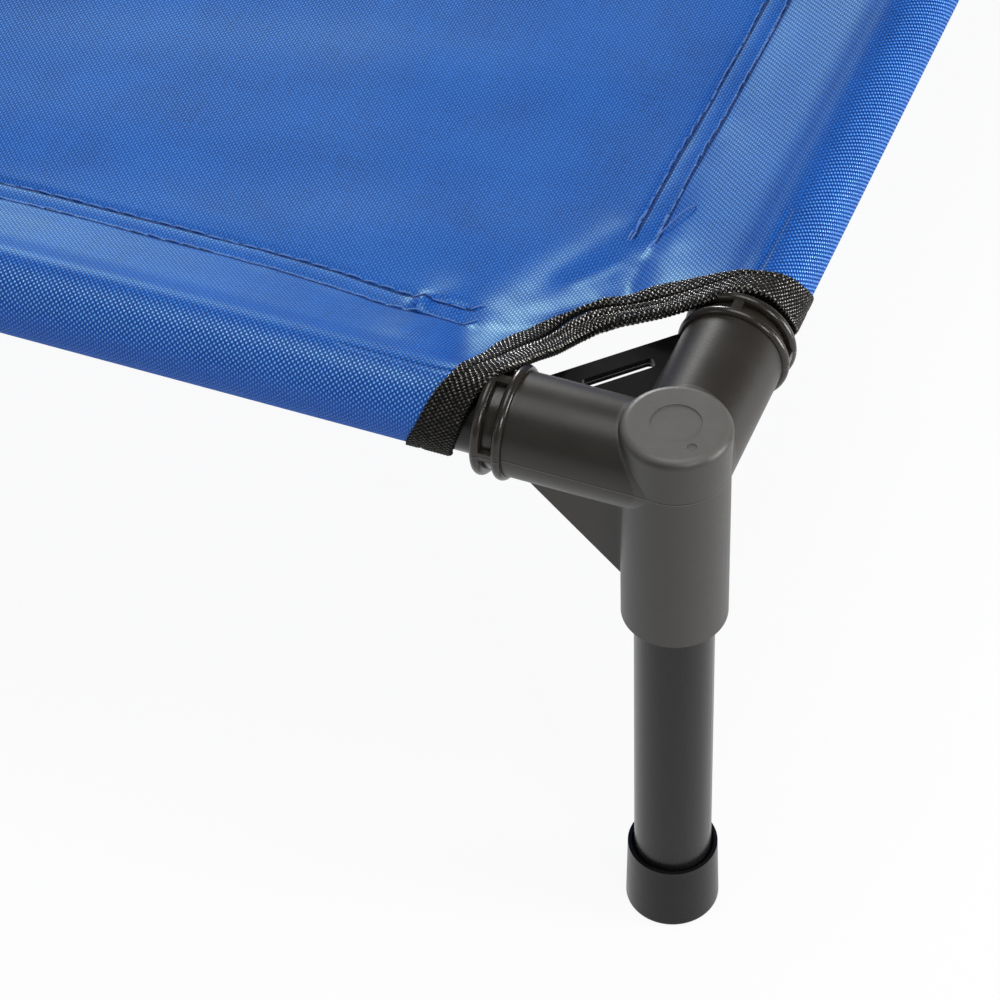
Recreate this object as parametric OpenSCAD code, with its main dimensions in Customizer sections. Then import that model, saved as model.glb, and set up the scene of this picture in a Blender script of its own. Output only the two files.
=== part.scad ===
// Raised dog cot: four steel rails and four legs pushed into three-way corner joints, with a bed cloth
// whose sewn sleeves hold the rails. Origin on the floor under the middle, X along the cot, Z up.

/* [Frame] */
// Distance between the leg axes along the cot
leg_span_x = 866; // [500:1:1300]
// Distance between the leg axes across the cot
leg_span_y = 566; // [400:1:900]
// Height of the rail axes above the floor
rail_height = 201.5; // [150:0.5:300]

/* [Tubes] */
// Outer diameter of the rails and legs
tube_d = 25; // [22:0.5:28]
// Wall of the steel tube
tube_wall = 1.2; // [0.8:0.1:2]

/* [Corner joint] */
// Clearance around a tube in its socket
tube_clear = 0.2; // [0.1:0.05:0.3]
// Wall of the two rail sockets
arm_wall = 3.5; // [2.8:0.1:4.5]
// Wall of the leg socket
leg_socket_wall = 3.8; // [2.8:0.1:4.5]
// Rail sockets, from the hub axis to the mouth
arm_len = 59; // [57:0.5:66]
// Leg socket, from the rail axes to the mouth
leg_socket_len = 62.5; // [57:0.5:80]
// Hub axis to the stop that a tube end rests on
stop_dist = 19; // [18:0.5:24]
// Height of the flat cap above the rail axes
cap_height = 17.5; // [17:0.5:22]
// Extra radius of the hub at its cap
hub_flare = 0.5; // [0.2:0.1:1]
// Radius of the cap's edge
cap_round = 3; // [1:0.25:4]
// Diameter of the shallow round mark on the cap
cap_mark_d = 15.5; // [10:0.5:18]
// Depth of the marks on the cap
cap_mark_depth = 0.3; // [0.1:0.1:0.6]
// Diameter of the mould gate mark
gate_d = 3; // [2:0.25:4]
// Distance of the gate mark from the hub axis
gate_offset = 10.8; // [10.5:0.1:12]

/* [Socket beads] */
// Radius of a bead's half-round section
bead_r = 1.65; // [1:0.05:2]
// Distance between the two beads of a rail socket
bead_pitch = 6.7; // [5.5:0.1:8]
// Depth of the pockets between the beads
pocket_depth = 1; // [0.5:0.1:1.5]
// Width of the ribs that bridge the pockets
rib_w = 3; // [2:0.25:5]
// Height of those ribs above the socket
rib_rise = 1; // [0.4:0.1:1.4]

/* [Corner webs] */
// Thickness of the webs between the sockets
web_t = 3.5; // [2:0.25:5]
// Hub axis to the end of a web
web_reach = 52; // [46:0.5:53]
// Length of the strap slot
slot_len = 24; // [18:0.5:26]
// Width of the strap slot
slot_w = 4; // [3:0.25:5]
// Sloping edge of the web to the middle of the slot
slot_inset = 7.8; // [6:0.2:9]

/* [Foot cap] */
// Height of the rubber cap
foot_h = 26.5; // [20:0.5:40]
// Rubber under the leg
foot_floor = 4; // [3:0.5:8]
// Wall at the cap's mouth
foot_wall = 2; // [1.5:0.1:3]
// Extra radius at the floor
foot_flare = 0.6; // [0:0.1:1.5]
// Radius of the edge at the floor
foot_round = 1.5; // [0.5:0.25:2.5]
// Clearance around the leg in the cap
foot_clear = 0.1; // [0.05:0.05:0.2]
// Depth of the chamfer inside the mouth
foot_chamfer = 0.8; // [0.4:0.1:1.2]

/* [Bed cloth] */
// Thickness of the cloth
cloth_t = 0.5; // [0.4:0.05:0.8]
// Rail axis to the outer row of the seam
seam_reach = 39; // [36:0.5:41]
// Distance between the two seam rows
seam_w = 6.5; // [4:0.5:10]
// Hem beyond the inner row
hem_w = 4; // [2:0.5:8]
// Drop of the bed surface below the rail axes
panel_drop = 2; // [0:0.5:5]

/* [Corner binding] */
// Gap from the mouth of a rail socket to the folded edge of the binding
corner_gap = 1; // [0.5:0.5:10]
// Visible width of the folded tape
tape_w = 12.5; // [8:0.5:16]
// Thickness of one layer of tape
tape_t = 0.7; // [0.5:0.05:0.9]
// Clearance on each side of a layer of tape
tape_clear = 0.1; // [0.05:0.05:0.2]

/* [Hidden] */
$fn = 96;
cut = 1;
web_root = 1.5;
arc_steps = 12;
sleeve_steps = 22;

tube_r = tube_d / 2;
bore_r = tube_r + tube_clear;
arm_r = bore_r + arm_wall;
leg_socket_r = bore_r + leg_socket_wall;
cap_r = leg_socket_r + hub_flare;
bead_x = [arm_len - bead_r, arm_len - bead_r - bead_pitch];
web_sum = web_reach + arm_r;

foot_bore_r = tube_r + foot_clear;
foot_top_r = foot_bore_r + foot_wall;
foot_base_r = foot_top_r + foot_flare;
leg_len = rail_height - stop_dist - foot_floor;

tape_room = tape_t + 2 * tape_clear;
sleeve_in_r = tube_r + tape_room + tape_clear;
sleeve_r = sleeve_in_r + cloth_t;
seam_d = norm([seam_reach, panel_drop]);
seam_tilt = atan2(-panel_drop, seam_reach);
seam_open = acos(sleeve_r / seam_d);
corner_cut_r = arm_len + corner_gap;
cloth_cut_r = corner_cut_r + tape_t + tape_clear;
hem_reach = seam_reach + seam_w + hem_w;

steel = [0.16, 0.165, 0.17];
moulded = [0.20, 0.20, 0.19];
rubber = [0.09, 0.09, 0.095];
blue = [0.06, 0.25, 0.62];
black = [0.03, 0.03, 0.03];

// Corners in turn from the front right one, each with its signs and its turn about Z
SIDES = [[1, -1, 0], [-1, -1, -90], [-1, 1, 180], [1, 1, 90]];

// Quarter arc of a section, turning from the direction a0 to a1 about the point c
function arc(c, r, a0, a1) =
    [for (i = [0:arc_steps]) let (a = a0 + (a1 - a0) * i / arc_steps) c + r * [cos(a), sin(a)]];

// Section of a sleeve: most of a circle about the rail, closed by its two tangents at the seam.
// Sections at other radii lie at an even distance from this one.
function teardrop(r) = concat(
    [seam_d * r / sleeve_r * [cos(seam_tilt), sin(seam_tilt)]],
    [for (i = [0:sleeve_steps])
        let (a = seam_tilt + seam_open + (360 - 2 * seam_open) * i / sleeve_steps) r * [cos(a), sin(a)]]
);

module at_corner(i) {
    translate([SIDES[i][0] * leg_span_x / 2, SIDES[i][1] * leg_span_y / 2, 0])
        rotate([0, 0, SIDES[i][2]])
            children();
}

module along_x(h, r) {
    rotate([0, 90, 0]) cylinder(h = h, r = r);
}

// One rail socket along +X, with two beads at its mouth and four ribs across the pockets between them
module rail_socket() {
    difference() {
        along_x(arm_len, arm_r);
        translate([bead_x[1], 0, 0])
            difference() {
                along_x(bead_pitch, arm_r + cut);
                along_x(bead_pitch, arm_r - pocket_depth);
            }
    }
    intersection() {
        translate([bead_x[1], 0, 0]) along_x(bead_pitch, arm_r + rib_rise);
        union() {
            translate([0, -rib_w / 2, -arm_r - bead_r]) cube([arm_len, rib_w, 2 * (arm_r + bead_r)]);
            translate([0, -arm_r - bead_r, -rib_w / 2]) cube([arm_len, 2 * (arm_r + bead_r), rib_w]);
        }
    }
    for (x = bead_x) {
        translate([x, 0, 0])
            rotate([0, 90, 0])
                rotate_extrude()
                    translate([arm_r, 0])
                        circle(r = bead_r);
    }
}

// Hub above the rail axes: it widens to the cap, whose edge is rounded
module hub() {
    rotate_extrude()
        polygon(concat(
            [[0, 0], [leg_socket_r, 0]],
            arc([cap_r - cap_round, cap_height - cap_round], cap_round, 0, 90),
            [[0, cap_height]]
        ));
}

// Triangular web in the corner between two sockets that run along +X and +Y
module web(r_x, r_y) {
    translate([0, 0, -web_t / 2])
        linear_extrude(web_t)
            polygon([
                [r_y - web_root, r_x - web_root],
                [web_sum - r_x + web_root, r_x - web_root],
                [r_y - web_root, web_sum - r_y + web_root]
            ]);
}

module strap_slot() {
    half = (slot_len - slot_w) / 2;
    rotate([0, 0, 135])
        translate([web_sum / sqrt(2) - slot_inset, 0, -web_t / 2 - cut]) {
            translate([-slot_w / 2, -half, 0]) cube([slot_w, 2 * half, web_t + 2 * cut]);
            for (s = [-1, 1]) {
                translate([0, s * half, 0]) cylinder(h = web_t + 2 * cut, d = slot_w);
            }
        }
}

// Corner joint about its hub axis, for the corner whose rails leave along -X and +Y
module corner_joint() {
    color(moulded)
        translate([0, 0, rail_height])
            difference() {
                union() {
                    hub();
                    mirror([0, 0, 1]) cylinder(h = leg_socket_len, r = leg_socket_r);
                    rotate([0, 0, 180]) rail_socket();
                    rotate([0, 0, 90]) rail_socket();
                    rotate([0, 0, 90]) web(arm_r, arm_r);
                    rotate([-90, 0, 180]) web(arm_r, leg_socket_r);
                    rotate([-90, 0, 90]) web(arm_r, leg_socket_r);
                }
                translate([-stop_dist, 0, 0]) mirror([1, 0, 0]) along_x(arm_len, bore_r);
                translate([0, stop_dist, 0]) rotate([0, 0, 90]) along_x(arm_len, bore_r);
                translate([0, 0, -stop_dist]) mirror([0, 0, 1]) cylinder(h = leg_socket_len, r = bore_r);
                strap_slot();
                translate([0, 0, cap_height - cap_mark_depth]) cylinder(h = cut, d = cap_mark_d);
                rotate([0, 0, -45])
                    translate([gate_offset, 0, cap_height - cap_mark_depth])
                        cylinder(h = cut, d = gate_d);
            }
}

module tube(length) {
    difference() {
        cylinder(h = length, r = tube_r);
        translate([0, 0, -cut]) cylinder(h = length + 2 * cut, r = tube_r - tube_wall);
    }
}

module leg() {
    color(steel) translate([0, 0, foot_floor]) tube(leg_len);
}

// Rubber cap under a leg, a little wider at the floor
module foot_cap() {
    color(rubber)
        difference() {
            rotate_extrude()
                polygon(concat(
                    [[0, 0]],
                    arc([foot_base_r - foot_round, foot_round], foot_round, -90, 0),
                    [[foot_top_r, foot_h], [0, foot_h]]
                ));
            translate([0, 0, foot_floor]) cylinder(h = foot_h, r = foot_bore_r);
            translate([0, 0, foot_h - foot_chamfer])
                cylinder(h = foot_chamfer, r1 = foot_bore_r, r2 = foot_bore_r + foot_chamfer);
        }
}

// Rail of the side at y = -across / 2, between the stops of its two corner joints
module rail(along, across) {
    length = along - 2 * stop_dist;
    color(steel)
        translate([-length / 2, -across / 2, rail_height])
            rotate([0, 90, 0])
                tube(length);
}

// Sleeve round the rail at y = -across / 2, with its hem, grown by g on every face
module sleeve(along, across, g) {
    length = along - 2 * corner_cut_r * cos(45);
    translate([-length / 2, -across / 2, rail_height])
        rotate([90, 0, 90])
            linear_extrude(length) {
                difference() {
                    polygon(teardrop(sleeve_r + g));
                    polygon(teardrop(sleeve_in_r - g));
                }
                translate([seam_reach - 2 * cloth_t, -panel_drop - 1.5 * cloth_t - g])
                    square([hem_reach - seam_reach + 2 * cloth_t + g, 2 * cloth_t + 2 * g]);
            }
}

// Whole cloth before its corners are cut: four sleeves and the panel between them
module cloth_body(g) {
    for (turn = [0, 180]) {
        rotate([0, 0, turn]) sleeve(leg_span_x, leg_span_y, g);
        rotate([0, 0, turn + 90]) sleeve(leg_span_y, leg_span_x, g);
    }
    inset = 2 * (seam_reach - 2 * cloth_t);
    panel = [leg_span_x - inset, leg_span_y - inset, cloth_t + 2 * g];
    translate([-panel[0] / 2, -panel[1] / 2, rail_height - panel_drop - panel[2] / 2]) cube(panel);
}

module at_all_heights(r) {
    translate([0, 0, rail_height - 2 * sleeve_r]) cylinder(h = 4 * sleeve_r, r = r);
}

module bed_cloth() {
    color(blue)
        difference() {
            cloth_body(0);
            for (i = [0:3]) {
                at_corner(i) at_all_heights(cloth_cut_r);
            }
        }
}

// Tape folded over the cut edge of the cloth, round both sleeve ends and across the corner between them
module binding(i) {
    color(black)
        difference() {
            intersection() {
                cloth_body(tape_t + tape_clear);
                at_corner(i) at_all_heights(corner_cut_r + tape_w);
            }
            at_corner(i) at_all_heights(corner_cut_r);
            difference() {
                cloth_body(tape_clear);
                at_corner(i) at_all_heights(corner_cut_r + tape_t);
            }
        }
}

at_corner(0) corner_joint();  // corner_joint_front_right
at_corner(1) corner_joint();  // corner_joint_front_left
at_corner(2) corner_joint();  // corner_joint_back_left
at_corner(3) corner_joint();  // corner_joint_back_right

at_corner(0) leg();  // leg_front_right
at_corner(1) leg();  // leg_front_left
at_corner(2) leg();  // leg_back_left
at_corner(3) leg();  // leg_back_right

at_corner(0) foot_cap();  // foot_cap_front_right
at_corner(1) foot_cap();  // foot_cap_front_left
at_corner(2) foot_cap();  // foot_cap_back_left
at_corner(3) foot_cap();  // foot_cap_back_right

rail(leg_span_x, leg_span_y);  // long_rail_front
rotate([0, 0, 180]) rail(leg_span_x, leg_span_y);  // long_rail_back
rotate([0, 0, 90]) rail(leg_span_y, leg_span_x);  // short_rail_right
rotate([0, 0, -90]) rail(leg_span_y, leg_span_x);  // short_rail_left

bed_cloth();

binding(0);  // binding_front_right
binding(1);  // binding_front_left
binding(2);  // binding_back_left
binding(3);  // binding_back_right
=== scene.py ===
import math
import bpy
import numpy as np
from mathutils import Matrix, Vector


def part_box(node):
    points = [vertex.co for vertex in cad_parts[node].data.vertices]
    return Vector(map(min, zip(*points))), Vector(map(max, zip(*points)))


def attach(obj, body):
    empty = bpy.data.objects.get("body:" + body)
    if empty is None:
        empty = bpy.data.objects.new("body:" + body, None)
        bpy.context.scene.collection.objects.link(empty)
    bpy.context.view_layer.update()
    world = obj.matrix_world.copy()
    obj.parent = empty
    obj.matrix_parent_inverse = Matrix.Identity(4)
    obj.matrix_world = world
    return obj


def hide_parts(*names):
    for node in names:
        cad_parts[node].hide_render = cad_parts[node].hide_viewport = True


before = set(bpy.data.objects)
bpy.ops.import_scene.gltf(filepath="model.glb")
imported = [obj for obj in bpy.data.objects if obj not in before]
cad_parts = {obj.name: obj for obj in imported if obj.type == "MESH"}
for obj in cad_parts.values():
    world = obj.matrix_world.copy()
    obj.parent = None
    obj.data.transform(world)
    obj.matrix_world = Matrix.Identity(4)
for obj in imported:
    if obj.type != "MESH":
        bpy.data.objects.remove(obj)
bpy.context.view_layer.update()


# sizes that the CAD nodes give
def nodeBox(name):
    low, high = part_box(name)
    return np.array(low), np.array(high)


legLow, legHigh = nodeBox("leg_front_right")
railLow, railHigh = nodeBox("long_rail_front")
clothHigh = nodeBox("bed_cloth")[1]
halfX = float(legLow[0] + legHigh[0]) / 2  # leg axes, from the middle of the cot
halfY = -float(legLow[1] + legHigh[1]) / 2
railZ = float(railLow[2] + railHigh[2]) / 2
sleeveR = float(clothHigh[2]) - railZ
corners = {"front_right": (1, -1), "front_left": (-1, -1), "back_left": (-1, 1), "back_right": (1, 1)}
print("frame: leg axes", round(halfX, 4), round(halfY, 4), "rails", round(railZ, 4), "sleeve", round(sleeveR, 4))


# shader sockets that take part in Python arithmetic; every operation adds one Math node
class Wire:
    def __init__(self, tree, socket=None):
        self.tree, self.socket = tree, socket

    def node(self, kind, settings=None, sockets=None, out=0):
        made = self.tree.nodes.new("ShaderNode" + kind)
        for key, value in (settings or {}).items():
            setattr(made, key, value)
        for key, value in (sockets or {}).items():
            if isinstance(value, Wire):
                self.tree.links.new(value.socket, made.inputs[key])
            else:
                made.inputs[key].default_value = value
        return Wire(self.tree, made.outputs[out] if len(made.outputs) else None)

    def other(self, name):
        return Wire(self.tree, self.socket.node.outputs[name])

    def math(self, operation, *values):
        return self.node("Math", {"operation": operation}, dict(enumerate(values)))

    def __add__(self, v):
        return self.math("ADD", self, v)

    def __radd__(self, v):
        return self.math("ADD", v, self)

    def __sub__(self, v):
        return self.math("SUBTRACT", self, v)

    def __rsub__(self, v):
        return self.math("SUBTRACT", v, self)

    def __mul__(self, v):
        return self.math("MULTIPLY", self, v)

    def __rmul__(self, v):
        return self.math("MULTIPLY", v, self)

    def __truediv__(self, v):
        return self.math("DIVIDE", self, v)

    def __rtruediv__(self, v):
        return self.math("DIVIDE", v, self)

    def __pow__(self, v):
        return self.math("POWER", self, v)

    def __abs__(self):
        return self.math("ABSOLUTE", self)

    def sin(self):
        return self.math("SINE", self)

    def cap(self):
        return self.math("MINIMUM", self.math("MAXIMUM", self, 0.0), 1.0)

    # 0 where the value is at or below start, 1 at or above stop
    def step(self, start, stop):
        return self.node("MapRange", {"interpolation_type": "SMOOTHSTEP"},
                         {"Value": self, "From Min": start, "From Max": stop})

    def noise(self, where, scale, detail=2.0, roughness=0.5):
        return self.node("TexNoise", None, {"Vector": where, "Scale": scale, "Detail": detail,
                                            "Roughness": roughness})

    def bell(self, value, tall, place, wide):
        return self.math("EXPONENT", (value - place) * (value - place) * (-1 / wide ** 2)) * tall

    def mix(self, share, first, second):
        return self.node("Mix", {"data_type": "RGBA"}, {0: share, 6: first, 7: second}, 2)

    def stretch(self, where, by):
        return self.node("VectorMath", {"operation": "MULTIPLY"}, {0: where, 1: by})

    def layer(self, share, below, above):
        return self.node("MixShader", None, {0: share, 1: below, 2: above})

    def close(self, shader):
        self.node("OutputMaterial", None, {"Surface": shader})


def newMaterial(name):
    made = bpy.data.materials.new(name)
    made.use_nodes = True
    made.node_tree.nodes.clear()
    return made, Wire(made.node_tree)


# closes a material: a Principled shader with a bump from a height in metres
def surface(start, sockets, height):
    bump = start.node("Bump", None, {"Strength": 1.0, "Distance": 1.0, "Height": height})
    start.close(start.node("BsdfPrincipled", None, {**sockets, "Normal": bump}))


def grey(value, warm=0.0):
    return (value * (1 + warm), value, value * (1 - warm), 1)


# camera and light
view = {"place": (0.27883, -0.78083, 0.85581), "yaw": 23.25, "pitch": 46.368, "roll": -2.127, "lens": 145.77}


# the camera looks along forward; right and up are turned about it by the roll
def makeCamera(v):
    yaw, pitch, roll = (math.radians(v[k]) for k in ("yaw", "pitch", "roll"))
    forward = np.array([-math.sin(yaw) * math.cos(pitch), math.cos(yaw) * math.cos(pitch), -math.sin(pitch)])
    right = np.array([math.cos(yaw), math.sin(yaw), 0.0])
    up = np.cross(right, forward)
    right, up = (math.cos(roll) * right + math.sin(roll) * up, -math.sin(roll) * right + math.cos(roll) * up)
    place = np.array([halfX, -halfY, railZ]) + np.array(v["place"])
    lens = bpy.data.cameras.new("photoCamera")
    lens.lens, lens.sensor_width, lens.sensor_fit = v["lens"], 36.0, "HORIZONTAL"
    lens.clip_start, lens.clip_end = 0.05, 50.0
    camera = bpy.data.objects.new("photoCamera", lens)
    bpy.context.scene.collection.objects.link(camera)
    turned = np.eye(4)
    turned[:3, 0], turned[:3, 1], turned[:3, 2], turned[:3, 3] = right, up, -forward, place
    camera.matrix_world = Matrix(turned.tolist())
    bpy.context.scene.camera = camera


light = {
    "over": {"place": (0.33, -0.30, 1.95), "aim": (0.33, -0.25, 0.2), "size": (1.1, 1.1), "power": 17.0},
    "key": {"place": (-1.53, 3.09, 1.26), "aim": (0.40, -0.25, 0.2), "size": (0.70, 1.25), "power": 71.0},
    "front": {"place": (1.47, -1.21, 1.00), "aim": (0.43, -0.28, 0.18), "size": (0.35, 0.35), "power": 8.0},
    "right": {"place": (1.60, -0.05, 0.32), "aim": (0.43, -0.28, 0.15), "size": (0.5, 0.5), "power": 13.0},
    "left": {"place": (-0.50, -1.37, 0.82), "aim": (0.40, -0.28, 0.18), "size": (0.4, 0.6), "power": 1.2},
}
room = {"seen": 1.0, "lit": 0.22, "floor": 0.86, "shadow": 0.08, "reach": 6.0, "lines": 9, "below": 0.0002}


def makeLights(lamps):
    for name, v in lamps.items():
        lamp = bpy.data.lights.new(name + "Lamp", "AREA")
        lamp.shape, lamp.energy = "RECTANGLE", v["power"]
        lamp.size, lamp.size_y = v["size"]
        held = bpy.data.objects.new(name + "Lamp", lamp)
        bpy.context.scene.collection.objects.link(held)
        back = np.array(v["place"]) - np.array(v["aim"])
        back /= np.linalg.norm(back)
        side = np.cross([0.0, 0.0, 1.0], back)
        side /= np.linalg.norm(side)
        turned = np.eye(4)
        turned[:3, 0], turned[:3, 1], turned[:3, 2] = side, np.cross(back, side), back
        turned[:3, 3] = v["place"]
        held.matrix_world = Matrix(turned.tolist())


# world and floor: white to the camera, a plain grey level as light; the floor is white in reflections too
def makeRoom(v):
    world = bpy.data.worlds.new("studio")
    world.use_nodes = True
    world.node_tree.nodes.clear()
    start = Wire(world.node_tree)
    seen = start.node("LightPath").other("Is Camera Ray")
    level = seen * (v["seen"] - v["lit"]) + v["lit"]
    back = start.node("Background", None, {"Color": (1, 1, 1, 1), "Strength": level})
    start.node("OutputWorld", None, {"Surface": back})
    bpy.context.scene.world = world

    material, start = newMaterial("paleFloor")
    path = start.node("LightPath")
    seen = (path.other("Is Camera Ray") + path.other("Is Glossy Ray")).cap()
    matt = start.node("BsdfDiffuse", None, {"Color": grey(v["floor"])})
    white = start.node("Emission", None, {"Color": (1, 1, 1, 1), "Strength": v["seen"]})
    both = start.layer(seen * (1 - v["shadow"]), matt, white)
    under = start.node("NewGeometry").other("Backfacing")  # clear when seen from below
    start.close(start.layer(under, both, start.node("BsdfTransparent")))
    across = np.linspace(-v["reach"], v["reach"], v["lines"])
    x, y = np.meshgrid(across, across, indexing="ij")
    points = np.stack([x, y, np.full_like(x, -v["below"])], -1).reshape(-1, 3)
    floor = addPiece("floor", points, gridFaces(v["lines"], v["lines"]), material)


# quads of a grid of points stored row by row; closed joins the last column to the first
def gridFaces(rows, columns, closed=False):
    r = np.arange(rows - 1)[:, None]
    c = np.arange(columns if closed else columns - 1)[None, :]
    n = (c + 1) % columns
    quads = np.stack([r * columns + c, (r + 1) * columns + c, (r + 1) * columns + n, r * columns + n], -1)
    return quads.reshape(-1, 4)


def addPiece(name, points, faces, material, flat=None, ends=None):
    mesh = bpy.data.meshes.new(name)
    mesh.from_pydata(points.tolist(), [], faces.tolist() + ([] if ends is None else ends.tolist()))
    mesh.polygons.foreach_set("use_smooth", np.ones(len(mesh.polygons), bool))
    if flat is not None:
        corner = np.empty(len(mesh.loops), np.int32)
        mesh.loops.foreach_get("vertex_index", corner)
        mesh.uv_layers.new(name="flat").data.foreach_set("uv", flat[corner].ravel())
    mesh.materials.append(material)
    mesh.update()
    piece = bpy.data.objects.new(name, mesh)
    bpy.context.scene.collection.objects.link(piece)
    return piece


# six times the signed volume of a closed mesh of quads tells which way its faces point
def outward(points, faces):
    a, b, c, d = (points[faces[:, k]] for k in range(4))
    volume = np.sum(a * np.cross(b, c)) + np.sum(a * np.cross(c, d))
    return faces if volume > 0 else faces[:, ::-1]


# tubes about many centre lines at once: centres is (tubes, rings, 3), radius (tubes, rings) and flat
# the height of a tube over its width; ring points lie at cos and sin along the side and the upright
def threadTubes(centres, radius, flat=1.0, sides=6):
    tubes, rings = centres.shape[:2]
    along = np.gradient(centres, axis=1)
    along /= np.linalg.norm(along, axis=2, keepdims=True)
    side = np.cross(along, [0.0, 0.0, 1.0])
    side /= np.maximum(np.linalg.norm(side, axis=2, keepdims=True), 1e-9)
    upright = np.cross(side, along)
    turn = np.linspace(0, 2 * math.pi, sides, endpoint=False)
    ring = side[:, :, None] * np.cos(turn)[:, None] + flat * upright[:, :, None] * np.sin(turn)[:, None]
    points = (centres[:, :, None] + radius[:, :, None, None] * ring).reshape(-1, 3)
    start = np.arange(tubes)[:, None, None] * rings * sides
    faces = (gridFaces(rings, sides, True)[None] + start).reshape(-1, 4)
    caps = np.arange(sides)[None, :] + start[:, :, 0]
    ends = np.concatenate([caps, caps[:, ::-1] + (rings - 1) * sides])
    one = gridFaces(rings, sides, True)
    if np.array_equal(outward(points[:rings * sides], one), one):
        return points, faces, ends[:, ::-1]
    return points, faces[:, ::-1], ends


# finishes
moulded = {"arm": (0.009, 0.016), "hub": (0.025, 0.037), "cap": (0.076, 0.101), "web": 0.002, "armWarm": 0.22,
           "hubWarm": 0.07, "capWarm": 0.06, "armRough": 0.40, "hubRough": 0.41, "grain": 0.00002,
           "line": 0.00022, "lineGrey": 0.004, "lipHighlight": 0.10, "lineRise": 0.00008,
           # where a look starts and is full: out from the hub's axis, in from both arms' axes, over the rails'
           # axes, and out along an arm
           "hubOut": (0.0175, 0.0179), "webIn": (0.0164, 0.017), "capOver": (0.0158, 0.0172),
           "beadFrom": (0.0482, 0.0492)}


# moulded plastic: the arms are smooth and dark, the hub and leg socket matt and paler, and the webs between the arms
# smooth and painted near-black as painted shade;
# cloudy grey, fine grain, and the thin dark line where the mould's halves met, with a painted highlight just under it
def mouldedPlastic(v):
    material, start = newMaterial("mouldedPlastic")
    where = start.node("TexCoord").other("Object")
    axes = start.node("SeparateXYZ", None, {0: where})
    offX, offY = abs(axes.other("X")) - halfX, abs(axes.other("Y")) - halfY
    hub = 1 - (offX * offX + offY * offY).step(*(r ** 2 for r in v["hubOut"]))
    cloud = start.noise(where, 70.0, 4.0, 0.6)
    fine = start.noise(where, 1400.0, 2.0)
    specks = start.noise(where, 420.0, 3.0, 0.7)
    line = 1 - abs(axes.other("Z") - railZ).step(v["line"] * 0.5, v["line"] * 1.5)
    tone = (cloud * 0.8 + specks * 0.4 - 0.1).cap()
    arm = start.mix(tone, *(grey(g, v["armWarm"]) for g in v["arm"]))
    matt = start.mix(tone, *(grey(g, v["hubWarm"]) for g in v["hub"]))
    web = (-1 * offX).step(*v["webIn"]) * (-1 * offY).step(*v["webIn"])
    # painted shade: the webs between the arms are painted near-black
    arm = start.mix(web, arm, grey(v["web"]))
    cap = start.mix(tone, *(grey(g, v["capWarm"]) for g in v["cap"]))
    matt = start.mix((axes.other("Z") - railZ).step(*v["capOver"]), matt, cap)
    colour = start.mix(line * 0.75, start.mix(hub, arm, matt), grey(v["lineGrey"]))
    # painted highlight: a light thin line just under the parting line
    litLip = 1 - abs(axes.other("Z") - (railZ - v["line"] * 1.6)).step(v["line"] * 0.4, v["line"] * 1.2)
    colour = start.mix(litLip * 0.35, colour, grey(v["lipHighlight"]))
    rough = cloud * 0.12 + fine * 0.1 + (v["armRough"] - 0.1) + hub * (v["hubRough"] - v["armRough"]) - web * 0.2
    bead = start.math("MAXIMUM", -1 * offX, -1 * offY).step(*v["beadFrom"])
    rough = rough - bead * 0.16
    height = fine * v["grain"] + specks * ((1 + hub) * v["grain"]) + line * v["lineRise"]
    surface(start, {"Base Color": colour, "Roughness": rough, "Specular IOR Level": 0.45}, height)
    return material


paint = {"dark": 0.005, "light": 0.009, "rough": 0.27}


# satin paint on the tubes, with faint streaks along a leg
def tubePaint(v):
    material, start = newMaterial("tubePaint")
    where = start.node("TexCoord").other("Object")
    streak = start.noise(start.stretch(where, (900.0, 900.0, 14.0)), 1.0, 2.0)
    cloud = start.noise(where, 55.0, 3.0)
    fine = start.noise(where, 2200.0, 1.0)
    colour = start.mix((streak * 0.6 + cloud * 0.5 - 0.05).cap(), grey(v["dark"], 0.02), grey(v["light"], 0.02))
    surface(start, {"Base Color": colour, "Roughness": streak * 0.16 + (v["rough"] - 0.08),
                    "Specular IOR Level": 0.28}, fine * 0.000012 + streak * 0.00001)
    return material


rubber = {"dark": 0.003, "light": 0.007, "mouth": 0.006, "rough": 0.3, "top": (0.0245, 0.0251)}


# rubber foot: matt and cloudy, black inside its mouth
def footRubber(v):
    material, start = newMaterial("footRubber")
    where = start.node("TexCoord").other("Object")
    z = start.node("SeparateXYZ", None, {0: where}).other("Z")
    cloud = start.noise(where, 90.0, 3.0, 0.6)
    fine = start.noise(where, 900.0, 2.0)
    colour = start.mix(cloud, grey(v["dark"]), grey(v["light"]))
    colour = start.mix(z.step(*v["top"]) * 0.85, colour, grey(v["mouth"]))
    surface(start, {"Base Color": colour, "Roughness": cloud * 0.15 + (v["rough"] - 0.05),
                    "Specular IOR Level": 0.22}, fine * 0.00004 + cloud * 0.0001)
    return material


# the slope of a product of two sines, as the colour of a normal map on flat coordinates
def sineLean(start, across, along, steep):
    leanX = (across + math.pi / 2).sin() * along.sin() * steep + 0.5
    leanY = (along + math.pi / 2).sin() * across.sin() * steep + 0.5
    return start.node("CombineXYZ", None, {0: leanX, 1: leanY, 2: 1.0})


def leaning(start, lean, strength):
    return start.node("NormalMap", {"uv_map": "flat"}, {"Strength": strength, "Color": lean})


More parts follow.
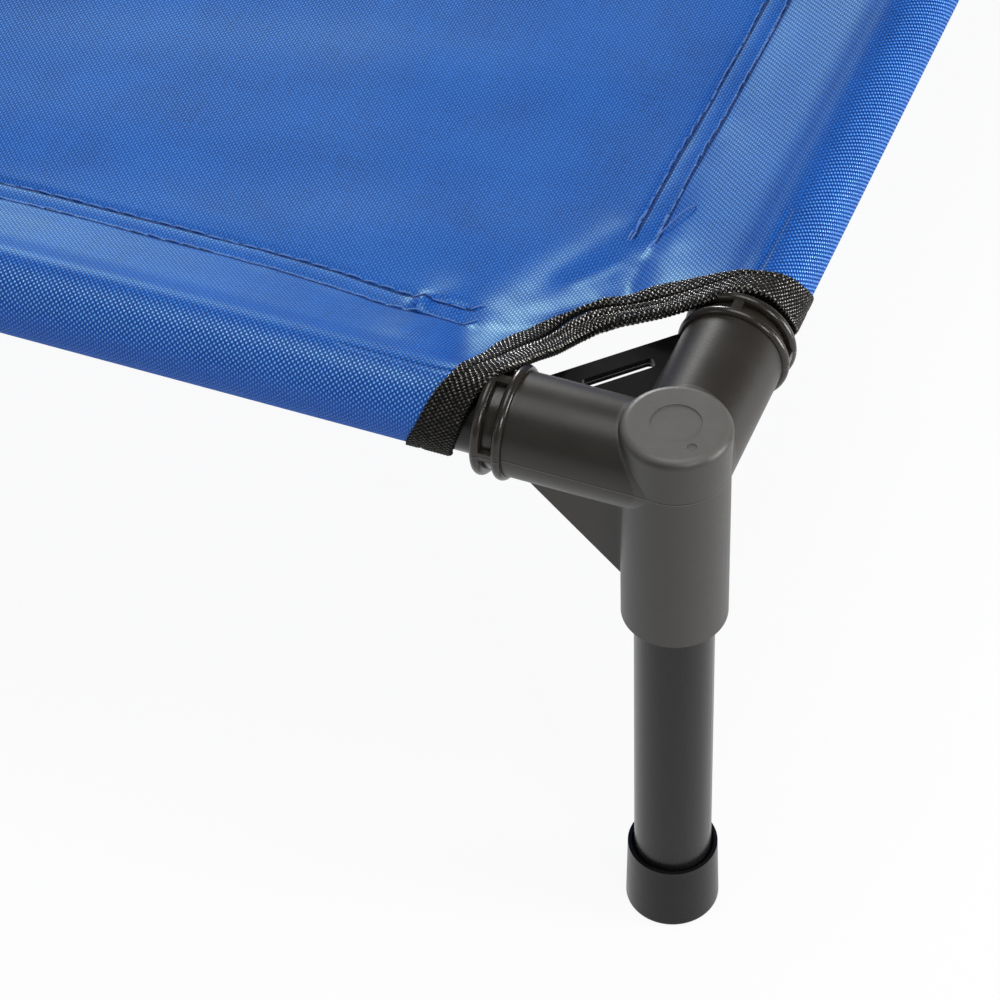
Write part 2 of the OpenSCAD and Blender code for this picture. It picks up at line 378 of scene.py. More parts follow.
weave = {
    "yarn": 0.00088, "wander": 0.0002, "tilt": 0.8, "gloss": 0.37, "lift": 0.12, "sparkGloss": 0.26, "spark": 0.6,
    "dark": (0.001, 0.016, 0.10, 1), "deep": (0.002, 0.05, 0.43, 1), "blue": (0.005, 0.094, 0.455, 1),
    # below: the brightest weave colour, the colour of painted glints on the yarn crowns, and the sheen's colour
    "bright": (0.018, 0.188, 0.73, 1), "paintedGlint": (0.22, 0.50, 0.92, 1), "sheen": (0.62, 1.0, 0.9, 1),
    # where the look changes beside a rail, counted outwards over its top: start and full
    "bent": (-0.009, 0.005), "hem": (0.032, 0.046), "shortLate": 0.004,
    "crest": (-0.014, -0.006), "side": (0.002, 0.008), "sideGlint": (0.001, 0.009),
    "front": (-0.004, 0.006), "brow": (0.0, 0.006), "low": (0.012, 0.022),
    "slope": (-0.042, -0.034), "slopeEnd": (-0.016, -0.008), "bend": (-0.016, -0.009),
    # the dark line of painted shadow by a row of stitches: its offset, and where it fades
    "shade": 0.00075, "shadeFade": (0.0004, 0.0010),
}


# plain weave on flat cloth coordinates: the product of two sines is up on every second crossing,
# so the raised yarns stand in staggered rows; their crowns are painted lighter and the sinks between them dark,
# a painted highlight and shade of the weave's relief; the crossings stand out more where the cloth bends round
# a rail, and each row of stitches has a dark line of painted shadow on its rail side
def wovenCloth(v, shape):
    material, start = newMaterial("wovenCloth")
    flat = start.node("UVMap", {"uv_map": "flat"})
    parts = start.node("SeparateXYZ", None, {0: flat})
    wander = start.noise(flat, 260.0, 1.0) * v["wander"]
    across, along = ((parts.other(k) + wander) * (math.pi / v["yarn"]) for k in "XY")
    over = across.sin() * along.sin()
    crown, ridge = abs(over) ** 0.6, across.sin() ** 2
    slubX = start.noise(start.stretch(flat, (40.0, 1500.0, 1.0)), 1.0, 1.0)
    slubY = start.noise(start.stretch(flat, (1500.0, 40.0, 1.0)), 1.0, 1.0)
    cloud = start.noise(flat, 28.0, 4.0, 0.6)
    speck = start.noise(flat, 1100.0, 2.0)
    outX, outY = abs(parts.other("X")) - halfX, abs(parts.other("Y")) - halfY
    inX, inY = -1 * outX, -1 * outY
    edge = start.math("MAXIMUM", outX - v["shortLate"], outY)
    shown = 1 - edge.step(*v["hem"])  # the hem under the bed has the look of the panel again
    bent = edge.step(*v["bent"]) * shown
    crest, side, sideGlint = (outX.step(*v[k]) * shown for k in ("crest", "side", "sideGlint"))
    front, low, brow = (outY.step(*v[k]) * shown for k in ("front", "low", "brow"))
    brow = brow * (1 - low)
    # painted highlight and shade: the tone lightens crowns and darkens sinks, more on the bent cloth and less low on
    # the long rail's flank
    tone = crown * 0.2 + ridge * 0.3 + over * (bent * 0.5 - low * 0.3 + 0.2)
    tone = (tone + (slubX + slubY) * 0.2 + cloud * 0.3 + speck * 0.5 - 0.36).cap()
    # painted shade in the sinks, lighter and bluer on the rails' flanks
    sink = start.mix(side * 0.2 + front * 0.5, v["dark"], v["deep"])
    colour = start.mix(tone.step(0.0, 0.55), sink, v["blue"])
    colour = start.mix(tone.step(0.5, 1.1), colour, v["bright"])
    # painted glints: the crowns of yarns over the rails' flanks are painted light, most over the short rails, where
    # the glossy sparkle is strongest too
    paintedGlints = over.step(0.3, 0.95) * (side * 0.72 + brow * 0.6)
    glint = over.step(0.25, 0.95) * (sideGlint * 0.28 + brow * 0.2)
    colour = start.mix(paintedGlints, colour, v["paintedGlint"])
    # painted shade: the cloth on the short rail's crest, inside its flank, is darkened
    colour = start.mix(crest * (1 - side) * 0.15, colour, v["dark"])
    # painted shade: the lower flank of the long rail's sleeve is darkened
    colour = start.mix(low * 0.5, colour, v["deep"])
    # rows of stitches, pulled towards or from the rails by the corners; beside each, a dark line of painted shadow
    pulledX = inX + start.bell(inY, *shape["pullShort"])
    pulledY = inY + start.bell(inX, *shape["pullLong"])
    inner = start.math("MINIMUM", pulledX, pulledY)
    short = (outX - outY).step(-0.001, 0.001) * (shape["sewnShort"] - shape["sewnLong"])
    sewn = (start.math("MAXIMUM", inX, inY) - short).step(shape["sewnLong"], shape["sewnLong"] + 0.002)
    # groove gathers the painted shadow lines, where the sheen is cut
    groove = 0.0
    for row in shape["rows"]:
        shade = (1 - abs(inner - (row - v["shade"])).step(*v["shadeFade"])) * sewn
        colour = start.mix(shade * 0.85, colour, v["dark"])
        groove = shade + groove
    # the sheen is strongest between the rows and the long rail, and weak where the cloth starts to bend
    slope = outY.step(*v["slope"]) * (1 - outY.step(*v["slopeEnd"]))
    bend = outY.step(*v["bend"]) * (1 - outY.step(*v["brow"]))
    share = (over.step(0.0, 0.9) * 0.5 + ridge * 0.22) * (outY.step(*v["bent"]) * 0.02 + 0.081) + 0.018
    share = share * (1 - crest * 0.75) * (slope * 0.32 - bend * 0.4 + 1) * (1 - groove.cap() * 0.9)
    lean = sineLean(start, across, along, (bent * 0.5 + 0.5) * (-0.5 * v["tilt"]))
    matt = start.node("BsdfPrincipled", None, {"Base Color": colour, "Roughness": 0.7, "Specular IOR Level": 0.1,
                                               "Normal": leaning(start, lean, 1.0)})
    shine = start.node("BsdfAnisotropic", None, {"Color": v["sheen"], "Roughness": v["gloss"],
                                                 "Normal": leaning(start, lean, v["lift"])})
    spark = start.node("BsdfAnisotropic", None, {"Color": v["sheen"], "Roughness": v["sparkGloss"],
                                                 "Normal": leaning(start, lean, v["spark"])})
    start.close(start.layer(glint, start.layer(share, matt, shine), spark))
    return material


tapeYarn = {"dark": 0.001, "light": 0.006, "warm": 0.25, "sheen": (1.0, 0.97, 0.91, 1), "tilt": 0.6, "gloss": 0.27,
            "lift": 0.45, "share": 0.24,
            # from the middle of the corner along the edge: where the free span ends, and where a sleeve takes over
            "freeEnd": (0.036, 0.05), "onSleeve": (0.040, 0.056), "valleyOff": 0.0007, "valleyFade": (0.0005, 0.0013)}


# coarse black tape: knobs in staggered rows on the tape's own flat coordinates; the knob tops are painted lighter and
# warmer than the dark gaps, as painted highlight and shade
def wovenTape(v, shape):
    material, start = newMaterial("wovenTape")
    flat = start.node("UVMap", {"uv_map": "flat"})
    parts = start.node("SeparateXYZ", None, {0: flat})
    x, y = parts.other("X"), parts.other("Y")
    along = x * (2 * math.pi / shape["period"])
    across = y * (2 * math.pi / shape["across"]) + math.pi / 2
    knob = along.sin() * across.sin() * 0.5 + 0.5
    hair = start.noise(flat, 5200.0, 2.0, 0.7)
    patch = start.noise(flat, 900.0, 2.0, 0.6)
    tone = (knob * 0.9 + hair * 0.6 - 0.45).cap()
    # painted highlight on the knob tops, painted shade in the gaps
    colour = start.mix(tone, grey(v["dark"]), grey(v["light"], v["warm"]))
    free = 1 - abs(x).step(*v["freeEnd"])
    clear = abs(abs(y) - shape["valley"] - v["valleyOff"]).step(*v["valleyFade"]) * free + (1 - free)
    dash = start.noise(start.stretch(flat, (2400.0, 850.0, 1.0)), 1.0, 1.0).step(0.36, 0.52)
    # the sleeves show less gloss than the free span, that of the long rail least
    turned = 1.25 - (-1 * x).step(*v["onSleeve"]) - x.step(*v["onSleeve"]) * 0.45
    gloss = (knob * 0.8 + patch * 0.6 - 0.1).step(0.55, 0.95) * dash * clear * turned
    lean = sineLean(start, along, across, -0.5 * v["tilt"])
    matt = start.node("BsdfPrincipled", None, {"Base Color": colour, "Roughness": 0.6, "Specular IOR Level": 0.12,
                                               "Normal": leaning(start, lean, 1.0)})
    shine = start.node("BsdfAnisotropic", None, {"Color": v["sheen"], "Roughness": v["gloss"],
                                                 "Normal": leaning(start, lean, v["lift"])})
    start.close(start.layer(gloss * v["share"], matt, shine))
    return material


thread = {"dark": (0.035, 0.12, 0.44, 1), "light": (0.12, 0.28, 0.67, 1), "twist": 0.00055, "ply": 0.00006}


# sewing thread: two plies show as a slanted light and dark twist on Object coordinates, a painted highlight and shade
# along the twist
def sewingThread(v):
    material, start = newMaterial("blueThread")
    where = start.node("TexCoord").other("Object")
    axes = start.node("SeparateXYZ", None, {0: where})
    slant = axes.other("X") + axes.other("Y") + axes.other("Z") * 0.6
    twist = (slant * (2 * math.pi / v["twist"])).sin() * 0.5 + 0.5
    hair = start.noise(where, 4000.0, 2.0)
    # painted highlight and shade along the twist
    colour = start.mix((twist * 0.7 + hair * 0.4 - 0.1).cap(), v["dark"], v["light"])
    surface(start, {"Base Color": colour, "Roughness": hair * 0.15 + 0.45, "Specular IOR Level": 0.35},
            twist * v["ply"])
    return material


def dressFrame():
    finishes = {"corner_joint": mouldedPlastic(moulded), "leg": tubePaint(paint), "foot_cap": footRubber(rubber)}
    finishes["long_rail"] = finishes["short_rail"] = finishes["leg"]
    for name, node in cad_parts.items():
        kind = next((k for k in finishes if name.startswith(k)), None)
        if kind is not None:
            node.data.materials.clear()
            node.data.materials.append(finishes[kind])
    print("frame dressed:", sorted(finishes))


# bed cloth: the top of the sheet is a height over the plan, and its four flaps run round the rails
cloth = {
    "thick": 0.0005,
    "seam": 0.039,  # rail axis to the outer row of stitches
    "rows": (0.039, 0.0461),
    "pullLong": (0.0042, 0.097, 0.030),  # by a corner a long row nears its rail by this, here, this wide
    "pullShort": (-0.0013, 0.110, 0.040),
    "pullFade": (0.014, 0.034, 0.070, 0.130),  # in from a rail the shift starts, is full, starts to fade, is gone
    "hem": 0.0105,  # width of the hem beyond the outer row
    "drop": 0.002,  # bed below the rail axes
    "under": 0.0026,  # lower layer below the upper one at the seam
    "soft": 0.0006,  # softness of the bend at the seam
    "groove": 0.00045,  # depth and half width of the groove that a row of stitches makes
    "grooveWide": 0.0011,
    "sewnLong": 0.0795,  # corner axis to the ends of the grooves, along a long and a short rail
    "sewnShort": 0.0885,
    "cutRail": 0.0575,  # corner axis to the bound edge, over a rail
    "bellReach": 0.072,  # bells along the edge reach this far from the middle of the corner
    "edge": [0.00024, -0.00035, 0.00131, -0.00034, -0.0036, -0.00269, -0.0037, -0.00129, 0.0013,
             0.00077, -0.00249, -0.00214, -0.00111, 0.00102, 0.00296, -0.00083, 0.00385],
    "tuck": 0.0012,  # the cloth ends this far inside the fold of the binding
    "skew": 0.0105,  # a sleeve's end runs back this far below the rail
    "skewStart": 0.004,
    "skewUnder": 0.009,  # and this much more under the rail
    "skewReach": 0.04,
    "underFrom": (0.03, 0.03),  # from this arc length on, in full this much further
    "lift": 0.0046,  # the free edge stands up this far between the rails
    "liftReach": 0.045,
    "sways": [(0.0006, 0.50, 0.35), (-0.0005, 1.35, 0.16)],  # and more or less by this, at this turn, this wide
    "ride": 0.0038,  # the edge lies this much higher where it rides over a socket's bead
    "rideReach": 0.026,
    "rideTurn": 0.38,
    "rideRound": 0.013,  # gone at this arc length round the rail
    "sag": 0.0018,
    "loose": (0.012, 0.02),  # the bed's waves start this far in from the rail axis, and are full this much further
    "puckers": (0.041, 0.012),  # the small waves of the seams lie here, this wide
    "flatEdge": (0.004, 0.011),  # creases start this far in from the bound edge, likewise
    "fine": 0.165,  # fine grid within this distance of the rails
    # creases by a corner: the ends (in along x, in along y), half width and height
    "creases": [
        ((0.0812, 0.0378), (0.0727, 0.0116), 0.0053, -0.0015),
        ((0.0936, 0.0266), (0.0929, 0.0200), 0.0090, 0.0013),
        ((0.0664, 0.0554), (0.0504, 0.0924), 0.0067, 0.0008),
        ((0.0580, 0.0633), (0.0474, 0.0787), 0.0037, -0.0008),
        ((0.0403, 0.0844), (0.0404, 0.1016), 0.0045, -0.0009),
        ((0.0901, 0.0450), (0.0725, 0.0330), 0.0090, 0.0013),
        ((0.0412, 0.0762), (0.0360, 0.0578), 0.0046, -0.0008),
        ((0.0364, 0.0792), (0.0317, 0.0611), 0.0090, 0.0015),
        ((0.0699, 0.0319), (0.0686, 0.0165), 0.0054, -0.0009),
        ((0.0662, 0.0422), (0.0432, 0.0522), 0.0090, 0.0015),
        ((0.0586, 0.0371), (0.0582, 0.0312), 0.0083, 0.0015),
        ((0.0968, 0.0412), (0.0972, 0.0372), 0.0021, 0.0022),
    ],
}


def sleeveShape(v):
    apexTop = np.array([v["seam"], -v["drop"]])
    apexLow = np.array([v["seam"], -v["drop"] - v["under"]])
    top = math.atan2(apexTop[1], apexTop[0]) + math.acos(sleeveR / np.linalg.norm(apexTop))
    low = math.atan2(apexLow[1], apexLow[0]) - math.acos(sleeveR / np.linalg.norm(apexLow)) + 2 * math.pi
    arc = sleeveR * (low - math.pi / 2)
    line = math.sqrt(apexLow @ apexLow - sleeveR ** 2)
    return {"top": top, "low": low, "arc": arc, "line": line, "length": arc + line + v["hem"], "apex": apexLow}


sleeve = sleeveShape(cloth)


# height over the bed of the sleeve's upper side at a distance in from the rail axis:
# a circle about the rail, then its tangent down to the seam, which bends softly into the bed
def sleeveHeight(d, v):
    tx, tz = sleeveR * math.cos(sleeve["top"]), sleeveR * math.sin(sleeve["top"])
    slope = (tz + v["drop"]) / (v["seam"] - tx)
    ramp = np.clip((v["seam"] - d) * slope / v["soft"], -40, 80)
    tangent = v["soft"] * np.log1p(np.exp(ramp))
    over = np.sqrt(np.maximum(sleeveR ** 2 - d ** 2, 0)) + v["drop"]
    return np.where(d < tx, over, tangent)


# bells at even places along the bound edge; they carry its sways and the tape's width
def edgeBells(t, heights, v):
    place = np.linspace(-v["bellReach"], v["bellReach"], len(heights))
    wide = place[1] - place[0]
    return sum(h * np.exp(-((t - p) / wide) ** 2) for h, p in zip(heights, place))


# radius of the cut edge about a corner's axis; turn is the angle from one rail to the other
def cutEdge(turn, v):
    return v["cutRail"] + edgeBells(v["cutRail"] * (turn - math.pi / 4), v["edge"], v)


# smooth sums of a few sines, for the cloth's slight unevenness
def ripple(x, y, waves):
    return sum(a * np.sin(2 * math.pi * (x * fx + y * fy) + p) for a, fx, fy, p in waves)


# height, waves per metre along x and y, and phase
bedWaves = [(0.00028, 9.0, 3.0, 0.4), (0.00022, -5.0, 11.0, 1.9), (0.00016, 17.0, 8.0, 4.1),
            (0.0001, 6.0, -23.0, 2.2)]
seamWaves = [(0.0001, 41.0, 43.0, 0.3), (0.00008, 63.0, -57.0, 1.1), (0.00006, 97.0, 101.0, 2.7)]


# each crease is a bell about a short line: its height falls with the square of the distance from the line
def creaseHeight(dx, dy, v):
    height = np.zeros_like(dx)
    for (x0, y0), (x1, y1), wide, tall in v["creases"]:
        run = np.clip(((dx - x0) * (x1 - x0) + (dy - y0) * (y1 - y0)) / ((x1 - x0) ** 2 + (y1 - y0) ** 2), 0, 1)
        off = (dx - x0 - run * (x1 - x0)) ** 2 + (dy - y0 - run * (y1 - y0)) ** 2
        height = height + tall * np.exp(-off / wide ** 2)
    return height


# shifts of the seams by a corner: a bell along the rail, which fades in past the sleeve and out over the bed
def seamPull(dx, dy, v):
    shift = []
    for d, run, (tall, place, wide) in ((dx, dy, v["pullShort"]), (dy, dx, v["pullLong"])):
        fade = np.interp(d, v["pullFade"], (0, 1, 1, 0))
        shift.append(tall * np.exp(-((run - place) / wide) ** 2) * fade)
    return shift


# height of the cloth's upper face above the floor over a plan point
def bedHeight(x, y, v=cloth):
    dx, dy = halfX - np.abs(x), halfY - np.abs(y)
    pullX, pullY = seamPull(dx, dy, v)
    first, second = sleeveHeight(dx + pullX, v), sleeveHeight(dy + pullY, v)
    height = (first ** 3 + second ** 3) ** (1 / 3)
    reach, turn = np.hypot(dx, dy), np.arctan2(dy, dx)
    cut = cutEdge(turn, v)
    fall = np.clip(1 - (reach - cut) / v["liftReach"], 0, 1.2)
    rise = v["lift"] * np.clip(np.sin(2 * turn), 0, 1) ** 1.3
    rise = rise + sum(tall * np.exp(-((turn - place) / wide) ** 2) for tall, place, wide in v["sways"])
    height = height + rise * fall ** 1.5
    beside = np.exp(-(turn / v["rideTurn"]) ** 2) + np.exp(-((math.pi / 2 - turn) / v["rideTurn"]) ** 2)
    height = height + v["ride"] * beside * np.clip(1 - (reach - cut) / v["rideReach"], 0, 1.1) ** 2
    inner = np.minimum(dx + pullX, dy + pullY)
    loose = np.clip((inner - v["loose"][0]) / v["loose"][1], 0, 1) ** 2
    height = height - v["sag"] * (1 - (x / halfX) ** 2) * (1 - (y / halfY) ** 2)
    bySeam = np.exp(-((inner - v["puckers"][0]) / v["puckers"][1]) ** 2)
    height = height + loose * (ripple(x, y, bedWaves) + ripple(x, y, seamWaves) * bySeam)
    strength = np.where(x > 0, 1.0, 0.8) * np.where(y < 0, 1.0, 0.75)  # the other corners are creased less
    fade = np.clip((reach - cut - v["flatEdge"][0]) / v["flatEdge"][1], 0, 1)  # the binding stays flat
    height = height + strength * fade ** 2 * (3 - 2 * fade) * creaseHeight(dx, dy, v)
    sewn = np.clip((np.maximum(dx, dy) - np.where(dy > dx, v["sewnShort"], v["sewnLong"])) / 0.003, 0, 1)
    for row in v["rows"]:
        height = height - v["groove"] * sewn * np.exp(-((inner - row) / v["grooveWide"]) ** 2)
    return railZ - v["drop"] + height


# section of a flap at arc length s from the top of the rail: round the rail on the outside,
# along the lower tangent to the seam, then flat under the bed; gives (inward, height over the rail)
def flapSection(s):
    turn = math.pi / 2 + np.minimum(s, sleeve["arc"]) / sleeveR
    inward, height = sleeveR * np.cos(turn), sleeveR * np.sin(turn)
    run = np.clip((s - sleeve["arc"]) / sleeve["line"], 0, 1)
    inward = inward + run * (sleeve["apex"][0] - inward)
    height = height + run * (sleeve["apex"][1] - height)
    return inward + np.maximum(s - sleeve["arc"] - sleeve["line"], 0), height


# corner axis to a sleeve's bound end at arc length s from the top of the rail: a quarter sine with a soft start
def flapEnd(s, onLong, v=cloth):
    run = s ** 2 / (s + v["skewStart"])
    under = np.clip((s - v["underFrom"][0]) / v["underFrom"][1], 0, 1)
    t = (v["cutRail"] * math.pi / 4 + s) * np.where(onLong, -1, 1)
    back = v["skew"] * np.sin(math.pi / 2 * np.minimum(run / v["skewReach"], 1))
    back = back + v["skewUnder"] * under ** 2 * (3 - 2 * under)
    return v["cutRail"] + back + edgeBells(t, v["edge"], v)


# share by which a flap stands out from the rail near its end, where it rides over the socket's bead
def flapRide(s, inset, v=cloth):
    over = 1 - np.clip(s / v["rideRound"], 0, 1)
    return v["ride"] / sleeveR * over ** 2 * (3 - 2 * over) * np.clip(1 - inset / v["rideReach"], 0, 1.1) ** 2


def bedLines(half, v):
    rows = [r + k for r in v["rows"] for k in (-0.0018, -0.0009, 0, 0.0009, 0.0018)]
    near = np.concatenate([np.linspace(0, 0.0128, 11), np.linspace(0.0150, 0.0362, 10), rows,
                           np.linspace(0.049, 0.105, 33), np.linspace(0.105, v["fine"], 12)[1:]])
    inner = np.linspace(v["fine"], half, int((half - v["fine"]) / 0.02))[1:]
    d = np.concatenate([near, inner])
    return np.unique(np.round(np.concatenate([d - half, half - d]), 7))


def makeCloth(material, v):
    xs, ys = bedLines(halfX, v), bedLines(halfY, v)
    x, y = np.meshgrid(xs, ys, indexing="ij")
    dx, dy = halfX - np.abs(x), halfY - np.abs(y)
    pullX, pullY = seamPull(dx, dy, v)
    dx, dy = dx - pullX, dy - pullY  # the grid follows the seams
    reach, turn = np.maximum(np.hypot(dx, dy), 1e-9), np.arctan2(dy, dx)
    grow = np.maximum((cutEdge(turn, v) + v["tuck"]) / reach, 1)
    x, y = np.sign(x) * (halfX - dx * grow), np.sign(y) * (halfY - dy * grow)
    points = [np.stack([x, y, bedHeight(x, y)], -1).reshape(-1, 3)]
    flats = [np.stack([x, y], -1).reshape(-1, 2)]
    cut = [(grow > 1).ravel()]
    faces = [gridFaces(len(xs), len(ys))]
    count = len(points[0])
    arc, line = sleeve["arc"], sleeve["line"]
    s = np.concatenate([np.linspace(0, arc, 21), arc + line * np.linspace(0, 1, 6)[1:],
                        arc + line + v["hem"] * np.linspace(0, 1, 4)[1:]])
    inward, height = flapSection(s)
    for side in (-1, 1):
        for lines, half, offHalf, swap in ((xs, halfX, halfY, False), (ys, halfY, halfX, True)):
            end = flapEnd(s, not swap)
            limit = half - end - v["tuck"]
            a = np.clip(lines[None, :], -limit[:, None], limit[:, None])
            out = 1 + flapRide(s[:, None], half - np.abs(a) - end[:, None])
            b = side * (offHalf - inward[:, None] * out)
            flatB = side * np.broadcast_to((offHalf + s)[:, None], a.shape)
            z = railZ + height[:, None] * out
            plan = (b, a) if swap else (a, b)
            flat = (flatB, a) if swap else (a, flatB)
            points.append(np.stack([*plan, z], -1).reshape(-1, 3))
            flats.append(np.stack(flat, -1).reshape(-1, 2))
            cut.append((np.abs(lines)[None, :] > limit[:, None]).ravel())
            quads = gridFaces(*a.shape) + count
            faces.append(quads[:, ::-1] if (side > 0) != swap else quads)
            count += a.size
    points, flats, cut, faces = (np.concatenate(p) for p in (points, flats, cut, faces))
    faces = faces[~cut[faces].all(1)]
    kept, index = np.unique(np.round(points, 6), axis=0, return_inverse=True)  # merges the flaps with the top
    first = np.zeros(len(kept), int)
    first[index.ravel()] = np.arange(len(points))
    faces = index.ravel()[faces]
    used = np.unique(faces)
    place = np.zeros(len(kept), int)
    place[used] = np.arange(len(used))
    piece = addPiece("bedCloth", points[first[used]], place[faces], material, flats[first[used]])
    thick = piece.modifiers.new("thickness", "SOLIDIFY")
    thick.thickness, thick.offset, thick.use_even_offset = v["thick"], -1.0, False
    print("bed cloth:", len(used), "points", len(faces), "faces")
    return piece


# binding: a tape folded over the cut edge, from under one sleeve round to under the other
tape = {"width": 0.0145,
        # bells along the edge that add to the width
        "more": [0.00002, -0.00091, -0.00134, -0.00102, 0.00039, 0.00189, 0.00161, -0.00003, -0.00268,
                 -0.00036, 0.00138, 0.00156, 0.00055, -0.00267, -0.00116, 0.00049, 0.00027],
        "fold": 0.0012, "thick": 0.0008, "step": 0.00026, "knob": 0.00018,
        "scallop": 0.0003, "period": 0.0014, "across": 0.0020, "valley": 0.0098, "valleyDeep": 0.0008,
        "valleyWide": 0.0007, "foldWide": 0.0012, "rimWide": 0.0009,
        "inner": 0.0002,  # half thickness where the seam presses it
        "short": 0.001,  # ends this far before the hem does
        # rounded bands across the free span: start, stop, height
        "roll": (-0.0008, 0.0060, 0.0009), "ridge": (0.0060, 0.0094, 0.0006), "strip": (0.0104, 0.0164, 0.0005)}


# cloth point at arc length t along the cut edge, counted from the middle of the corner, and inset from
# the edge; the ends of t follow the two sleeves; in corner coordinates: in along x, in along y, height
def edgePoint(t, inset, v=cloth):
    half = v["cutRail"] * math.pi / 4
    turn = np.clip(math.pi / 4 * (1 + t / half), 0, math.pi / 2)
    reach = cutEdge(turn, v) + inset
    dx, dy = reach * np.cos(turn), reach * np.sin(turn)
    z = bedHeight(halfX - dx, dy - halfY)
    s = np.maximum(np.abs(t) - half, 0)
    inward, height = flapSection(s)
    out = 1 + flapRide(s, inset)
    inward, height = inward * out, height * out
    end = flapEnd(s, t < 0) + inset
    onFlap = s > 0
    dx = np.where(onFlap, np.where(t < 0, end, inward), dx)
    dy = np.where(onFlap, np.where(t < 0, inward, end), dy)
    z = np.where(onFlap, railZ + height, z)
    return np.stack([dx, dy, z], -1)


def edgeFrame(t, inset):
    step = 0.0004
    point = edgePoint(t, inset)
    along = edgePoint(t + step, inset) - edgePoint(t - step, inset)
    inside = edgePoint(t, inset + step) - edgePoint(t, inset - step)
    normal = np.cross(inside, along)
    normal /= np.linalg.norm(normal, axis=-1, keepdims=True)
    return point, normal


def toCorner(local, signs):
    sx, sy = signs
    return np.stack([sx * (halfX - local[..., 0]), sy * (halfY - local[..., 1]), local[..., 2]], -1)


# section of the tape round the loop: upper side, fold, lower side; gives inset, offset and arc length from the fold
def tapeSection(v):
    bend = np.linspace(math.pi / 2, 3 * math.pi / 2, 11)
    upper = np.linspace(v["width"], v["fold"], 38)[:-1]
    lower = np.linspace(v["fold"], v["width"], 10)[1:]
    inset = np.concatenate([upper, v["fold"] + v["fold"] * np.cos(bend), lower])
    offset = np.concatenate([np.full(upper.shape, 1.0), np.sin(bend), np.full(lower.shape, -1.0)])
    more = v["fold"] * (math.pi / 2 - 1)
    arc = np.concatenate([upper + more, v["fold"] * (math.pi - bend), -lower - more])
    return inset, offset, arc


def makeBinding(corner, signs, material, v):
    half = cloth["cutRail"] * math.pi / 4
    reach = half + sleeve["length"] - v["short"]
    t = np.linspace(-reach, reach, int(2 * reach / v["step"]))[:, None]
    inset, offset, arc = tapeSection(v)
    s = np.maximum(np.abs(t) - half, 0)
    wider = 1 + edgeBells(t, v["more"], cloth) / v["width"]
    inset, offset, arc = inset[None, :] * wider, offset[None, :], arc[None, :] * wider
    free = np.clip(1.25 - np.abs(t) / half, 0, 1)
    lattice = np.sin(2 * math.pi * t / v["period"]) * np.cos(2 * math.pi * arc / v["across"])
    slant = np.sin(2 * math.pi * (t + 0.9 * inset) / v["period"])
    onRidge = np.sin(math.pi * np.clip((inset - v["ridge"][0]) / (v["ridge"][1] - v["ridge"][0]), 0, 1)) * free
    wave = lattice * (1 - onRidge) + slant * onRidge
    bands = sum(tall * np.sin(math.pi * np.clip((inset - start) / (stop - start), 0, 1))
                for start, stop, tall in (v["roll"], v["ridge"], v["strip"]))
    valley = v["valleyDeep"] * np.exp(-((inset - v["valley"]) / v["valleyWide"]) ** 2) * (0.3 + 0.7 * free)
    size = cloth["thick"] / 2 + v["thick"] + bands * free - valley + v["knob"] * wave
    # the layer inside the sleeve thins out towards the seam
    flatten = np.clip((s - sleeve["arc"] - 0.3 * sleeve["line"]) / (0.5 * sleeve["line"]), 0, 1)
    size = np.where(offset < 0, size * (1 - flatten) + v["inner"] * flatten, size)
    edge = np.exp(-(inset / v["foldWide"]) ** 2) - np.exp(-((inset - v["width"] * wider) / v["rimWide"]) ** 2)
    scallop = v["scallop"] * np.cos(2 * math.pi * t / v["period"]) * edge
    point, normal = edgeFrame(np.broadcast_to(t, inset.shape), inset - scallop)
    point = point + normal * (size * offset - cloth["thick"] / 2)[..., None]
    points = toCorner(point, signs).reshape(-1, 3)
    columns = inset.shape[1]
    faces = gridFaces(len(t), columns, True)
    ends = np.stack([np.arange(columns), np.arange(columns)[::-1] + (len(t) - 1) * columns])
    turned = outward(points, faces)
    ends = ends if np.array_equal(turned, faces) else ends[:, ::-1]
    flat = np.stack([np.broadcast_to(t, inset.shape), arc], -1)
    piece = addPiece("binding_" + corner + "_tape", points, turned, material, flat.reshape(-1, 2), ends)
    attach(piece, "root")
    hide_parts("binding_" + corner)
    return piece


# seam stitches: short arched tubes in two rows along each sleeve
stitch = {"pitch": 0.0059, "long": 0.0058, "radius": 0.00033, "flat": 0.8, "rise": 0.0002, "sink": 0.00035,
          "longEnds": (0.0800, 0.0802), "shortEnds": (0.0897, 0.0902), "hook": 0.55, "hookIn": 0.0012,
          "twiceReach": 0.014, "twiceThick": 1.35, "taper": (0.55, 0.85, 1.0, 1.0, 1.0, 0.85, 0.55),
          # spread of the stitches off the row and in turn; where sewn twice along it, off it and in turn
          "stray": (0.00008, 0.035), "strayTwice": (0.0014, 0.00035, 0.07),
          # points of the loose end: in along x, in along y, over the cloth
          "loose": [(0.0405, 0.0930, 0.0000), (0.0390, 0.0950, 0.0006), (0.0372, 0.0982, 0.0012),
                    (0.0353, 0.1022, 0.0014), (0.0334, 0.1047, 0.0010), (0.0318, 0.1062, 0.0002)]}


# centre lines of stitches about plan points: each runs along its heading and arches over the cloth
def stitchLines(x, y, heading, v, under=False):
    a = np.linspace(-0.5, 0.5, len(v["taper"]))
    px = x[:, None] + a * v["long"] * np.cos(heading)[:, None]
    py = y[:, None] + a * v["long"] * np.sin(heading)[:, None]
    arch = v["rise"] - (v["rise"] + v["sink"]) * (2 * np.abs(a)) ** 4
    if under:
        z = np.full_like(px, railZ - cloth["drop"] - cloth["under"]) - arch
    else:
        z = bedHeight(px, py) + arch
    return np.stack([px, py, z], -1)


